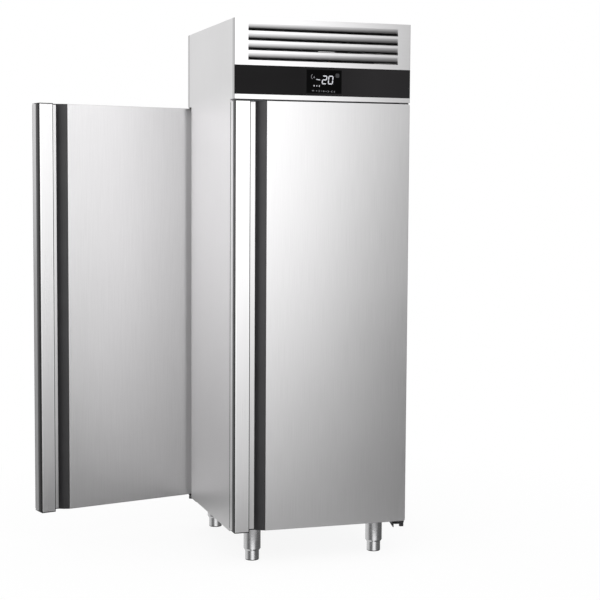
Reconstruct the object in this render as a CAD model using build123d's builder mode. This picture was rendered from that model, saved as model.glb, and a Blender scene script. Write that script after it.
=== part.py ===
from build123d import *
from math import cos, radians, sin
import os

# Pass-through upright freezer, in millimetres.
# The origin is the middle of the footprint on the floor, +Z is up.
# The front door faces -Y. The rear door faces +Y when it is closed.

os.makedirs("parts", exist_ok=True)

# Overall cabinet
cabinet_width = 680
cabinet_height = 2010
fascia_depth = 740
leg_height = 120
fascia_height = 290
door_recess = 60
sheet = 1.2
face_flange = 40
side_wall = 60
floor_wall = 65
ceiling_wall = 70
breaker_depth = 10

# Fascia, louvres and control panel
fascia_return = 30
fascia_corner = 3
trim_strip = 17
panel_height = 105
panel_thickness = 4
panel_corner = 2.5
louvre_count = 4
louvre_pitch = 35
louvre_opening = 26
louvre_slit = 5
louvre_depth = 12
louvre_top_margin = 19
louvre_side_margin = 51
louvre_sag_depth = 4.2
louvre_sag_drop = 11.5
lens_width = 136
lens_height = 86
lens_thickness = 1.5
lens_sink = 0.2
controller_width = 150
controller_height = 80
controller_depth = 36
controller_round = 6
vent_count = 9
vent_width = 3
vent_depth = 4
gland_inset = 90
gland_height = 48
gland_thread = 20
gland_nut = 25
gland_nut_height = 6
gland_dome_height = 7
gland_tail = 16
gland_bore = 9
gland_fit = 0.1

# Doors
door_thickness = 52
door_bottom_gap = 7
door_top_gap = 5
door_corner = 6
door_edge = 2.5
opened_angle = 195
pivot_in = 10
pivot_out = 38
plug_margin = 70
plug_depth = 10
plug_corner = 12
grip_start = 122
grip_step = 8
grip_depth = 28
grip_slant = 32
grip_insert = 4
grip_crown = 3
handle_width = 57
handle_rise = 15
handle_box = 40
handle_seat = 20
handle_wall = 2.5
handle_lip = 9
handle_round = 3
gasket_margin = 2
gasket_hinge_margin = 14
gasket_width = 18
gasket_corner = 8
free_clearance = 0.3

# Hinges
pin_diameter = 10
pin_clearance = 0.05
pin_reach = 24
bush_wall = 2.5
bush_length = 28
flange_extra = 2
bracket_width = 42
bracket_inset = 2
bracket_thickness = 3
bracket_round = 10
foot_plate = 4
foot_plate_reach = 80
bracket_overhang = 10
cam_radius = 10
cam_height = 3.3
nut_height = 11
nut_radius = 8
gusset_depth = 14
gusset_thickness = 3

# Legs and feet
leg_inset = 96
leg_setback = 27
sleeve_diameter = 64
sleeve_taper = 4
taper_height = 6
sleeve_plate = 5
foot_diameter = 52
foot_show = 38
foot_length = 92
foot_wall = 3
foot_round = 3
foot_fit = 0.3
stud_diameter = 14

# Shelf ribs and shelves
rib_count = 22
rib_first = 68
rib_last = 137
rib_height = 32
rib_reach = 20
rib_nose_drop = 8
rib_nose = 3
rib_end = 24
shelf_side_gap = 4
shelf_end_gap = 14
shelf_corner = 14
rim_rod = 8
shelf_rod = 5
shelf_rod_count = 21
shelf_bar_count = 2
weld_sink = 0.5
shelf_ribs = {"lower_shelf": 4, "middle_shelf": 10, "upper_shelf": 16}

# Air duct and lamp in the cabin
fan_x = -90
fan_hole = 176
cooler_setback = 205
return_x = 110
return_width = 150
return_depth = 200
duct_side_gap = 30
duct_end_gap = 70
duct_height = 34
duct_round = 6
slot_length = 60
slot_width = 8
slot_gap = 12
slot_inset = 24
slot_columns = 6
slot_pitch = 20
return_slots = 8
lamp_length = 320
lamp_width = 24
lamp_height = 11
lamp_round = 4

# Cooler in its insulated housing
housing_side_gap = 110
housing_depth = 300
housing_height = 150
housing_wall = 25
evaporator_inset = 130
evaporator_width = 160
evaporator_depth = 230
evaporator_height = 100
evaporator_fins = 24
evaporator_columns = 3
evaporator_rows = 4
fin_thickness = 0.8
coil_tube = 9.5
coil_stub = 3
heater_diameter = 8
heater_inset = 30
heater_passes = 3

# Fans
blade_count = 5
blade_chord = 46
blade_pitch = 28
blade_thickness = 2
blade_clearance = 5
hub_diameter = 44
hub_height = 22
shaft_diameter = 8
shaft_fit = 0.05
shaft_grip = 18
motor_diameter = 76
motor_length = 46
motor_round = 6

# Condenser
condenser_side_gap = 45
condenser_middle_gap = 5
condenser_setback = 90
condenser_depth = 66
condenser_height = 190
condenser_fins = 30
condenser_columns = 2
condenser_rows = 6
shroud_plate = 2
shroud_depth = 26
shroud_ring = 3
condenser_fan_hole = 170
stand_width = 34
stand_thickness = 6
motor_gap = 12

# Compressor
compressor_setback = 180
compressor_diameter = 176
compressor_body = 170
compressor_dome = 46
compressor_base = 24
base_width = 196
base_depth = 156
base_plate = 5
grommet_diameter = 26
grommet_height = 14
grommet_inset = 16
grommet_bore = 8
terminal_width = 62
terminal_height = 58
terminal_depth = 22

# Pipework and condensate
pipe_diameter = 8
pipe_wall = 1
pipe_bend = 18
capillary_diameter = 3
drier_diameter = 20
drier_length = 80
drier_taper = 6
pipe_hole_fit = 0.3
tray_width = 76
tray_depth = 240
tray_height = 20
tray_wall = 2
tray_inset = 48
drain_diameter = 12
drain_height = 34

# Places worked out from the sizes above
half_width = cabinet_width / 2
inner_x = half_width - sheet
flange_x = half_width - face_flange
fascia_y = fascia_depth / 2
side_y = fascia_y - fascia_return
face_y = fascia_y - door_recess
liner_y = face_y - breaker_depth
liner_x = half_width - side_wall
fascia_z = cabinet_height - fascia_height
deck_z = fascia_z + sheet
floor_z = leg_height + floor_wall
ceiling_z = fascia_z - ceiling_wall
panel_z = fascia_z + trim_strip
lens_z = panel_z + panel_height / 2
gasket_gap = door_recess - door_thickness
door_z = leg_height + door_bottom_gap
door_height = fascia_z - door_top_gap - door_z
pivot_x = half_width - pivot_in
pivot_y = face_y + gasket_gap + pivot_out
gland_x = gland_inset - half_width
leg_x = half_width - leg_inset
leg_y = face_y - leg_setback
rib_pitch = (ceiling_z - floor_z - rib_first - rib_last) / (rib_count - 1)
cooler_y = fascia_y - cooler_setback
duct_width = 2 * (liner_x - duct_side_gap)
duct_depth = 2 * (liner_y - duct_end_gap)
housing_width = 2 * (half_width - housing_side_gap)
evaporator_x = housing_width / 2 - evaporator_inset
condenser_width = half_width - condenser_side_gap - condenser_middle_gap
condenser_x = -condenser_middle_gap - condenser_width / 2
condenser_y = condenser_setback - fascia_y
compressor_x = half_width / 2
compressor_y = compressor_setback - fascia_y
tray_x = tray_inset - half_width
leg_places = [(x, y) for x in (-leg_x, leg_x) for y in (-leg_y, leg_y)]


def keep(piece, name):
    """Label a finished piece and write it as its own file."""
    piece.label = name
    export_step(piece, f"parts/{name}.step")
    return piece


def span_box(low, high, mode=Mode.ADD):
    """A box in the current part, from its low corner to its high corner."""
    middle = tuple((a + b) / 2 for a, b in zip(low, high))
    size = [b - a for a, b in zip(low, high)]
    with Locations(middle):
        Box(*size, mode=mode)


def turned_round(piece):
    """The same piece on the other side of the cabinet, half a turn about Z."""
    return piece.rotate(Axis.Z, 180)


# Side panels, folded inward at the front and the rear
with BuildPart() as side_panel:
    with BuildSketch(Plane.YZ.offset(inner_x)):
        with BuildLine():
            Polyline(
                (-face_y, leg_height),
                (face_y, leg_height),
                (face_y, fascia_z),
                (side_y, fascia_z),
                (side_y, cabinet_height),
                (-side_y, cabinet_height),
                (-side_y, fascia_z),
                (-face_y, fascia_z),
                close=True,
            )
        make_face()
    extrude(amount=sheet)
    for low_y in (-face_y, face_y - sheet):
        span_box((flange_x, low_y, leg_height), (inner_x, low_y + sheet, fascia_z))
    bends = side_panel.edges().filter_by(Axis.Z).group_by(Axis.X)[-1]
    fillet([bend for bend in bends if abs(bend.center().Y) < side_y - sheet], sheet)
keep(side_panel.part, "right_side_panel")
keep(mirror(side_panel.part, about=Plane.YZ), "left_side_panel")

# Base panel, with a front and a rear lip and holes for the leg studs
with BuildPart() as base_panel:
    span_box(
        (-inner_x, -face_y + sheet, leg_height),
        (inner_x, face_y - sheet, leg_height + sheet),
    )
    for low_y in (-face_y, face_y - sheet):
        span_box(
            (-flange_x, low_y, leg_height),
            (flange_x, low_y + sheet, leg_height + face_flange),
        )
    with Locations(*[(x, y, leg_height + sheet) for x, y in leg_places]):
        Hole(stud_diameter / 2)
keep(base_panel.part, "base_panel")

# Machine deck, with the two air openings over the cabin
with BuildPart() as machine_deck:
    span_box((-inner_x, -side_y, fascia_z), (inner_x, side_y, deck_z))
    for low_y in (-face_y, face_y - sheet):
        span_box(
            (-flange_x, low_y, fascia_z - face_flange),
            (flange_x, low_y + sheet, fascia_z),
        )
    with Locations((fan_x, cooler_y, deck_z)):
        Hole(fan_hole / 2)
    with Locations((return_x, cooler_y, deck_z)):
        Box(return_width, return_depth, 4 * sheet, mode=Mode.SUBTRACT)
keep(machine_deck.part, "machine_deck")

# Top cover, a sheet with a stiffening lip at the front and the rear
with BuildPart() as top_cover:
    span_box(
        (-inner_x, -side_y, cabinet_height - sheet),
        (inner_x, side_y, cabinet_height),
    )
    for low_y in (-side_y, side_y - sheet):
        span_box(
            (-inner_x, low_y, cabinet_height - fascia_return),
            (inner_x, low_y + sheet, cabinet_height - sheet),
        )
keep(top_cover.part, "top_cover")

# Fascias over the doors
louvre_half = half_width - louvre_side_margin
louvre_tops = [
    cabinet_height - louvre_top_margin - n * louvre_pitch for n in range(louvre_count)
]


def louvre_blades():
    """Sections of the blades, flush at the top, pressed inward, open along the foot."""
    with BuildSketch(Plane.YZ.offset(-louvre_half)) as sections:
        for top in louvre_tops:
            head = (-fascia_y, top)
            belly = (-fascia_y + louvre_sag_depth, top - louvre_sag_drop)
            foot = (-fascia_y + louvre_depth, top - louvre_opening + louvre_slit)
            inner_foot = (foot[0] + sheet, foot[1])
            inner_belly = (belly[0] + sheet, belly[1] + sheet / 2)
            inner_head = (head[0] + sheet, head[1] + sheet)
            with BuildLine():
                ThreePointArc(head, belly, foot)
                Line(foot, inner_foot)
                ThreePointArc(inner_foot, inner_belly, inner_head)
                Polyline(inner_head, (head[0], head[1] + sheet), head)
            make_face()
    return sections.sketch


def louvre_cheeks(cheek_x):
    """Sections of the cheeks that close the louvres at one end."""
    deep = -fascia_y + louvre_depth + sheet
    with BuildSketch(Plane.YZ.offset(cheek_x)) as sections:
        for top in louvre_tops:
            with BuildLine():
                Polyline(
                    (-fascia_y, top - louvre_opening),
                    (-fascia_y, top),
                    (-fascia_y + 2 * sheet, top),
                    (deep, top - louvre_opening / 2),
                    (deep, top - louvre_opening),
                    close=True,
                )
            make_face()
    return sections.sketch


def fascia(with_panel):
    """The louvred pan over the front door, with or without the seat of the control panel."""
    with BuildPart() as pan:
        span_box((-half_width, -fascia_y, fascia_z), (half_width, -side_y, cabinet_height))
        fillet(pan.edges().filter_by(Axis.Z).group_by(Axis.Y)[0], fascia_corner)
        if with_panel:
            span_box(
                (-half_width, -fascia_y, panel_z),
                (half_width, -fascia_y + panel_thickness, panel_z + panel_height),
                mode=Mode.SUBTRACT,
            )
        offset(amount=-sheet, openings=pan.faces().sort_by(Axis.Y)[-1])
        for top in louvre_tops:
            span_box(
                (-louvre_half, -fascia_y, top - louvre_opening),
                (louvre_half, -fascia_y + sheet, top),
                mode=Mode.SUBTRACT,
            )
        extrude(louvre_blades(), amount=2 * louvre_half)
        for cheek_x in (-louvre_half - sheet, louvre_half):
            extrude(louvre_cheeks(cheek_x), amount=sheet)
    return pan.part


keep(fascia(with_panel=True), "front_fascia")

# The rear fascia has no panel, and a hole for the gland of the mains lead
gland_z = fascia_z + gland_height
plain_fascia = turned_round(fascia(with_panel=False))
with BuildPart() as rear_fascia:
    add(plain_fascia)
    with BuildSketch(Plane.XZ.offset(-fascia_y)):
        with Locations((gland_x, gland_z)):
            Circle(gland_thread / 2 + gland_fit)
    extrude(amount=2 * sheet, mode=Mode.SUBTRACT)
keep(rear_fascia.part, "rear_fascia")

# Cable gland, empty because no lead is shown
with BuildPart() as cable_gland:
    with BuildSketch(Plane.XZ.offset(-fascia_y)):
        with Locations((gland_x, gland_z)):
            RegularPolygon(gland_nut / 2, 6, major_radius=False)
    extrude(amount=-gland_nut_height)
    with BuildSketch(Plane.XZ.offset(-fascia_y - gland_nut_height)):
        with Locations((gland_x, gland_z)):
            Circle(gland_thread / 2)
    extrude(amount=-gland_dome_height)
    fillet(cable_gland.edges().filter_by(GeomType.CIRCLE).sort_by(Axis.Y)[-1], gland_dome_height / 2)
    with BuildSketch(Plane.XZ.offset(-fascia_y)):
        with Locations((gland_x, gland_z)):
            Circle(gland_thread / 2)
    extrude(amount=gland_tail)
    with BuildSketch(Plane.XZ.offset(gland_tail - fascia_y)):
        with Locations((gland_x, gland_z)):
            Circle(gland_bore / 2)
    extrude(amount=-gland_tail - gland_nut_height - gland_dome_height, mode=Mode.SUBTRACT)
keep(cable_gland.part, "cable_gland")

# Control panel with a shallow seat for the display lens
with BuildPart() as control_panel:
    span_box(
        (-half_width, -fascia_y, panel_z),
        (half_width, -fascia_y + panel_thickness, panel_z + panel_height),
    )
    fillet(control_panel.edges().filter_by(Axis.Z).group_by(Axis.Y)[0], panel_corner)
    span_box(
        (-lens_width / 2, -fascia_y, lens_z - lens_height / 2),
        (lens_width / 2, -fascia_y + lens_thickness, lens_z + lens_height / 2),
        mode=Mode.SUBTRACT,
    )
keep(control_panel.part, "control_panel")

with BuildPart() as display_lens:
    span_box(
        (-lens_width / 2, -fascia_y + lens_sink, lens_z - lens_height / 2),
        (lens_width / 2, -fascia_y + lens_thickness, lens_z + lens_height / 2),
    )
keep(display_lens.part, "display_lens")

# Controller housing on the back of the front fascia
controller_y = -fascia_y + panel_thickness + sheet
with BuildPart() as controller_box:
    span_box(
        (-controller_width / 2, controller_y, lens_z - controller_height / 2),
        (controller_width / 2, controller_y + controller_depth, lens_z + controller_height / 2),
    )
    fillet(controller_box.edges().filter_by(Axis.Y), controller_round)
    with Locations((0, controller_y + controller_depth, lens_z)):
        with GridLocations(controller_width / (vent_count + 1), 1, vent_count, 1):
            Box(vent_width, 2 * vent_depth, controller_height / 2, mode=Mode.SUBTRACT)
keep(controller_box.part, "controller_box")

# Plastic frames round both openings, between the folded sheet and the liners
breaker_low = leg_height + face_flange
breaker_high = fascia_z - face_flange
with BuildPart() as breaker_frames:
    for low_y in (-face_y, liner_y):
        span_box(
            (-flange_x, low_y, breaker_low),
            (flange_x, low_y + breaker_depth, breaker_high),
        )
    span_box((-liner_x, -face_y, floor_z), (liner_x, face_y, ceiling_z), mode=Mode.SUBTRACT)
keep(breaker_frames.part, "breaker_frames")

# Foam that fills the walls, open where the air passes
foam_y = face_y - sheet
with BuildPart() as cabinet_insulation:
    span_box((-inner_x, -foam_y, leg_height + sheet), (inner_x, foam_y, fascia_z))
    span_box(
        (-liner_x - sheet, -foam_y, floor_z - sheet),
        (liner_x + sheet, foam_y, ceiling_z + sheet),
        mode=Mode.SUBTRACT,
    )
    for low_y in (-face_y, liner_y):
        span_box(
            (-flange_x, low_y, breaker_low),
            (flange_x, low_y + breaker_depth, breaker_high),
            mode=Mode.SUBTRACT,
        )
    with Locations((fan_x, cooler_y, fascia_z)):
        Cylinder(fan_hole / 2, 3 * ceiling_wall, mode=Mode.SUBTRACT)
    with Locations((return_x, cooler_y, fascia_z)):
        Box(return_width, return_depth, 3 * ceiling_wall, mode=Mode.SUBTRACT)
keep(cabinet_insulation.part, "cabinet_insulation")

# Side liners, with ribs pressed inward that carry the shelves
rib_levels = [floor_z + rib_first + n * rib_pitch for n in range(rib_count)]
rib_length = 2 * (liner_y - rib_end)


def rib_sections(inset, back):
    """Sections of the ribs on the right wall, drawn in by inset, from a plane at their front."""
    half = rib_height / 2 - inset
    with BuildSketch(Plane.XZ.offset(liner_y - rib_end - inset)) as sections:
        for level in rib_levels:
            with BuildLine():
                Polyline(
                    (liner_x + back, level + half),
                    (liner_x, level + half),
                    (liner_x - rib_reach + inset, level + rib_height / 2 - rib_nose_drop - inset / 3),
                    (liner_x, level - half),
                    (liner_x + back, level - half),
                    close=True,
                )
            make_face()
        fillet(sections.vertices().group_by(Axis.X)[0], rib_nose - inset)
    return sections.sketch


with BuildPart() as side_liner:
    span_box((liner_x, -liner_y, floor_z), (liner_x + sheet, liner_y, ceiling_z))
    extrude(rib_sections(0, sheet), amount=-rib_length)
    extrude(rib_sections(sheet, sheet), amount=2 * sheet - rib_length, mode=Mode.SUBTRACT)
keep(side_liner.part, "right_liner")
keep(mirror(side_liner.part, about=Plane.YZ), "left_liner")

# Floor and ceiling liners, the ceiling with collars through the foam
with BuildPart() as floor_liner:
    span_box(
        (-liner_x - sheet, -liner_y, floor_z - sheet),
        (liner_x + sheet, liner_y, floor_z),
    )
keep(floor_liner.part, "floor_liner")

with BuildPart() as ceiling_liner:
    span_box(
        (-liner_x - sheet, -liner_y, ceiling_z),
        (liner_x + sheet, liner_y, ceiling_z + sheet),
    )
    with Locations((fan_x, cooler_y, (ceiling_z + fascia_z) / 2)):
        Cylinder(fan_hole / 2, fascia_z - ceiling_z)
        Cylinder(fan_hole / 2 - sheet, 2 * ceiling_wall, mode=Mode.SUBTRACT)
    with Locations((return_x, cooler_y, (ceiling_z + fascia_z) / 2)):
        Box(return_width, return_depth, fascia_z - ceiling_z)
        Box(
            return_width - 2 * sheet,
            return_depth - 2 * sheet,
            2 * ceiling_wall,
            mode=Mode.SUBTRACT,
        )
keep(ceiling_liner.part, "ceiling_liner")

# Air baffle under the ceiling, a pan with a divider and slots
duct_z = ceiling_z - duct_height
with BuildPart() as duct_panel:
    span_box(
        (-duct_width / 2, -duct_depth / 2, duct_z),
        (duct_width / 2, duct_depth / 2 + slot_inset, ceiling_z),
    )
    fillet(duct_panel.edges().group_by(Axis.Z)[0], duct_round)
    offset(amount=-sheet, openings=duct_panel.faces().sort_by(Axis.Z)[-1])
    divider_x = (fan_x + fan_hole / 2 + return_x - return_width / 2) / 2
    span_box(
        (divider_x, -duct_depth / 2 + sheet, duct_z + sheet),
        (divider_x + sheet, duct_depth / 2 + slot_inset - sheet, ceiling_z),
    )
    with Locations((0, -duct_depth / 2 + slot_inset, duct_z)):
        with GridLocations(slot_length + slot_gap, 1, slot_columns, 1):
            Box(slot_length, slot_width, 4 * sheet, mode=Mode.SUBTRACT)
    with Locations((fan_x, cooler_y, duct_z), (return_x, cooler_y, duct_z)):
        with GridLocations(1, slot_pitch, 1, return_slots):
            Box(return_width - slot_gap, slot_width, 4 * sheet, mode=Mode.SUBTRACT)
keep(duct_panel.part, "duct_panel")

with BuildPart() as interior_lamp:
    lamp_y = -(duct_depth / 2 + liner_y) / 2
    span_box(
        (-lamp_length / 2, lamp_y - lamp_width / 2, ceiling_z - lamp_height),
        (lamp_length / 2, lamp_y + lamp_width / 2, ceiling_z),
    )
    fillet(interior_lamp.edges().group_by(Axis.Z)[0], lamp_round)
keep(interior_lamp.part, "interior_lamp")

# Wire shelves, each resting on the sloping tops of two ribs
rim_x = liner_x - shelf_side_gap - rim_rod / 2
rim_y = liner_y - shelf_end_gap - rim_rod / 2
rib_slope = rib_nose_drop / rib_reach
rest_drop = (liner_x - rim_x) * rib_slope
rest_rise = (rim_rod / 2 + free_clearance) * (1 + rib_slope**2) ** 0.5


def shelf_rim(height):
    """The closed line of a shelf's rim rod."""
    with BuildSketch(Plane.XY.offset(height)) as outline:
        RectangleRounded(2 * rim_x, 2 * rim_y, shelf_corner)
    return outline.sketch.face().outer_wire()


def wire_shelf(level):
    """A shelf of welded rods whose rim lies on the ribs at a level."""
    height = level + rib_height / 2 - rest_drop + rest_rise
    rod_z = height + rim_rod / 2 - weld_sink
    bar_z = rod_z - shelf_rod + weld_sink
    rim = shelf_rim(height)
    with BuildPart() as shelf:
        with BuildSketch(Plane(origin=rim @ 0, z_dir=rim % 0)):
            Circle(rim_rod / 2)
        sweep(path=rim)
        with Locations((0, 0, rod_z)):
            with GridLocations(2 * rim_x / (shelf_rod_count + 1), 1, shelf_rod_count, 1):
                Cylinder(shelf_rod / 2, 2 * rim_y, rotation=(90, 0, 0))
        with Locations((0, 0, bar_z)):
            with GridLocations(1, 2 * rim_y / (shelf_bar_count + 1), 1, shelf_bar_count):
                Cylinder(shelf_rod / 2, 2 * rim_x, rotation=(0, 90, 0))
    return shelf.part


for shelf_name, rib in shelf_ribs.items():
    keep(wire_shelf(rib_levels[rib]), shelf_name)

# Leg sleeves under the base, each with a stud through the base panel
with BuildPart() as leg_sleeves:
    for x, y in leg_places:
        outer = sleeve_diameter / 2
        bore = foot_diameter / 2 + foot_fit
        with BuildSketch(Plane(origin=(x, y, 0), x_dir=(1, 0, 0), z_dir=(0, -1, 0))):
            with BuildLine():
                Polyline(
                    (bore, foot_show),
                    (outer - sleeve_taper, foot_show),
                    (outer, foot_show + taper_height),
                    (outer, leg_height),
                    (stud_diameter / 2, leg_height),
                    (stud_diameter / 2, leg_height + sheet),
                    (0, leg_height + sheet),
                    (0, leg_height - sleeve_plate),
                    (bore, leg_height - sleeve_plate),
                    close=True,
                )
            make_face()
        revolve(axis=Axis((x, y, 0), (0, 0, 1)))
keep(leg_sleeves.part, "leg_sleeves")


def adjustable_foot(x, y):
    """A foot that turns up and down in its sleeve, closed at the floor."""
    with BuildPart() as foot:
        with Locations((x, y, foot_length / 2)):
            Cylinder(foot_diameter / 2, foot_length)
        fillet(foot.edges().sort_by(Axis.Z)[0], foot_round)
        with Locations((x, y, foot_length / 2 + foot_wall)):
            Cylinder(foot_diameter / 2 - foot_wall, foot_length, mode=Mode.SUBTRACT)
    return foot.part


for x, y in leg_places:
    end = "front" if y < 0 else "rear"
    hand = "left" if x < 0 else "right"
    keep(adjustable_foot(x, y), f"foot_{end}_{hand}")

# Hinge brackets of the front door, which serve the rear door half a turn round
bracket_x = half_width - bracket_inset
bracket_y = -pivot_y - bracket_overhang

with BuildPart() as top_hinge:
    span_box(
        (bracket_x - bracket_width, bracket_y, fascia_z - bracket_thickness),
        (bracket_x, -face_y, fascia_z),
    )
    fillet(top_hinge.edges().filter_by(Axis.Z).group_by(Axis.Y)[0], bracket_round)
    with Locations((pivot_x, -pivot_y, fascia_z - door_top_gap - pin_reach)):
        pin_height = door_top_gap + pin_reach
        Cylinder(pin_diameter / 2, pin_height, align=(Align.CENTER, Align.CENTER, Align.MIN))
keep(top_hinge.part, "front_top_hinge")
keep(turned_round(top_hinge.part), "rear_top_hinge")

with BuildPart() as bottom_hinge:
    span_box(
        (bracket_x - bracket_width, bracket_y, leg_height - foot_plate),
        (bracket_x, -face_y + foot_plate_reach, leg_height),
    )
    fillet(bottom_hinge.edges().filter_by(Axis.Z).group_by(Axis.Y)[0], bracket_round)
    with Locations((pivot_x, -pivot_y, leg_height)):
        Cylinder(cam_radius, cam_height, align=(Align.CENTER, Align.CENTER, Align.MIN))
    with Locations((pivot_x, -pivot_y, leg_height)):
        pin_height = door_bottom_gap + pin_reach
        Cylinder(pin_diameter / 2, pin_height, align=(Align.CENTER, Align.CENTER, Align.MIN))
    with BuildSketch(Plane.XY.offset(leg_height - foot_plate)):
        with Locations((pivot_x, -pivot_y)):
            RegularPolygon(nut_radius, 6, major_radius=False)
    extrude(amount=-nut_height)
    with BuildSketch(Plane.YZ.offset(bracket_x - bracket_width)):
        with BuildLine():
            Polyline(
                (bracket_y + bracket_round, leg_height - foot_plate),
                (-face_y, leg_height - foot_plate),
                (bracket_y + bracket_round, leg_height - foot_plate - gusset_depth),
                close=True,
            )
        make_face()
    extrude(amount=gusset_thickness)
keep(bottom_hinge.part, "front_bottom_hinge")
keep(turned_round(bottom_hinge.part), "rear_bottom_hinge")

# Doors. The plan plane of a door has its origin at the hinge edge on the inner face,
# its X along the door to the free edge and its Y outward.
door_width = cabinet_width
grip_edge = door_width - grip_start
handle_top = door_thickness + handle_rise
handle_base = door_thickness - handle_seat
grip_floor = door_thickness - grip_depth


def door_plan(hinge_side, angle):
    """The plan plane of a door hinged at one side of the cabinet, swung open by an angle."""
    heading = radians(angle + (180 if hinge_side > 0 else 0))
    along = Vector(cos(heading), sin(heading))
    out = Vector(-sin(heading), cos(heading))
    pivot = Vector(hinge_side * pivot_x, -hinge_side * pivot_y)
    corner = pivot - along * pivot_in - out * pivot_out
    return Plane(origin=corner, x_dir=along, z_dir=(0, 0, 1))


def door_face(plan, outward=0):
    """A plane parallel to the door, X along it and Y up, that looks into the cabinet."""
    origin = plan.origin + plan.y_dir * outward + Vector(0, 0, door_z)
    return Plane(origin=origin, x_dir=plan.x_dir, z_dir=-plan.y_dir)


def door_sheet(plane, margin, corner):
    """The elevation of a door drawn in by a margin, rounded on the hinge side."""
    with BuildSketch(plane) as elevation:
        with Locations((door_width / 2, door_height / 2)):
            Rectangle(door_width - 2 * margin, door_height - 2 * margin)
        fillet(elevation.vertices().group_by(Axis.X)[0], corner)
    return elevation.sketch


def door_block(plan, inset):
    """The solid outer form of a door, drawn in all round by inset."""
    with BuildPart() as block:
        with BuildSketch(plan.offset(door_z + inset)):
            with BuildLine():
                Polyline(
                    (0, 0),
                    (0, door_thickness),
                    (grip_edge, door_thickness),
                    (grip_edge, door_thickness - grip_step),
                    (grip_edge + grip_slant, grip_floor),
                    (door_width - handle_box, grip_floor),
                    (door_width - handle_box, handle_base),
                    (door_width, handle_base),
                    (door_width, 0),
                    close=True,
                )
            make_face()
            if inset:
                offset(amount=-inset, kind=Kind.INTERSECTION, mode=Mode.REPLACE)
        extrude(amount=door_height - 2 * inset)
        across = block.edges().filter_by(Axis((0, 0, 0), plan.y_dir))
        fillet(across.group_by(Axis(plan.origin, plan.x_dir))[0], door_corner - inset)
        faces = block.faces().filter_by(Axis((0, 0, 0), plan.y_dir))
        front = faces.sort_by(Axis(plan.origin, plan.y_dir))[-1]
        fillet(front.edges(), door_edge - inset)
    return block.part


def bush_holes(plan):
    """Pockets for the hinge bushes, cut from the current part."""
    foot = plan.origin + plan.x_dir * pivot_in + plan.y_dir * pivot_out
    radius = pin_diameter / 2 + bush_wall
    with Locations((foot.X, foot.Y, door_z + bush_length / 2)):
        Cylinder(radius, bush_length, mode=Mode.SUBTRACT)
    with Locations((foot.X, foot.Y, door_z + door_height - bush_length / 2)):
        Cylinder(radius, bush_length, mode=Mode.SUBTRACT)


def door_skin(plan):
    """The outer sheet of a door, folded round its four edges and open at the back."""
    outer = door_block(plan, 0)
    inner = door_block(plan, sheet)
    with BuildPart() as skin:
        add(outer)
        add(inner, mode=Mode.SUBTRACT)
        seat = door_sheet(door_face(plan, sheet), sheet, door_corner - sheet)
        extrude(seat, amount=sheet, mode=Mode.SUBTRACT)
        bush_holes(plan)
    return skin.part


def door_liner(plan):
    """The inner sheet of a door, with a raised plug that stands in the opening."""
    hollow_corner = plug_corner - sheet
    flat = door_sheet(door_face(plan, sheet), sheet, door_corner - sheet)
    plug = door_sheet(door_face(plan), plug_margin, plug_corner)
    hollow = door_sheet(door_face(plan, sheet), plug_margin + sheet, hollow_corner)
    with BuildPart() as liner:
        extrude(flat, amount=sheet)
        extrude(plug, amount=plug_depth)
        extrude(hollow, amount=plug_depth, mode=Mode.SUBTRACT)
    return liner.part


def door_foam(plan):
    """The foam between the two sheets of a door."""
    inner = door_block(plan, sheet)
    hollow_corner = plug_corner - sheet
    hollow = door_sheet(door_face(plan, sheet), plug_margin + sheet, hollow_corner)
    with BuildPart() as foam:
        add(inner)
        extrude(hollow, amount=plug_depth)
        bush_holes(plan)
    return foam.part


def door_gasket(plan):
    """The soft magnetic seal, a closed ring on the inner face of a door."""
    ring_width = door_width - gasket_margin - gasket_hinge_margin
    ring_height = door_height - 2 * gasket_margin
    with BuildPart() as gasket:
        with BuildSketch(door_face(plan)):
            with Locations(((door_width + gasket_hinge_margin - gasket_margin) / 2, door_height / 2)):
                RectangleRounded(ring_width, ring_height, gasket_corner)
                Rectangle(
                    ring_width - 2 * gasket_width,
                    ring_height - 2 * gasket_width,
                    mode=Mode.SUBTRACT,
                )
        extrude(amount=gasket_gap - free_clearance)
    return gasket.part


def door_handle(plan):
    """The full-height handle, a hollow profile with a lip that hides the grip."""
    inner_edge = door_width - handle_width
    box_edge = door_width - handle_box
    with BuildPart() as handle:
        with BuildSketch(plan.offset(door_z)) as profile:
            with BuildLine():
                Polyline(
                    (door_width, handle_base),
                    (door_width, handle_top),
                    (inner_edge, handle_top),
                    (inner_edge, handle_top - handle_lip),
                    (inner_edge + handle_wall, handle_top - handle_lip),
                    (inner_edge + handle_wall, handle_top - handle_wall),
                    (box_edge, handle_top - handle_wall),
                    (box_edge, handle_base),
                    close=True,
                )
            make_face()
            fillet(profile.vertices().group_by(Axis.Y)[-1], handle_round)
        extrude(amount=door_height)
        with BuildSketch(plan.offset(door_z + handle_wall)):
            with BuildLine():
                Polyline(
                    (door_width - handle_wall, handle_base + handle_wall),
                    (door_width - handle_wall, handle_top - handle_wall),
                    (box_edge + handle_wall, handle_top - handle_wall),
                    (box_edge + handle_wall, handle_base + handle_wall),
                    close=True,
                )
            make_face()
        extrude(amount=door_height - 2 * handle_wall, mode=Mode.SUBTRACT)
    return handle.part


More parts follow.
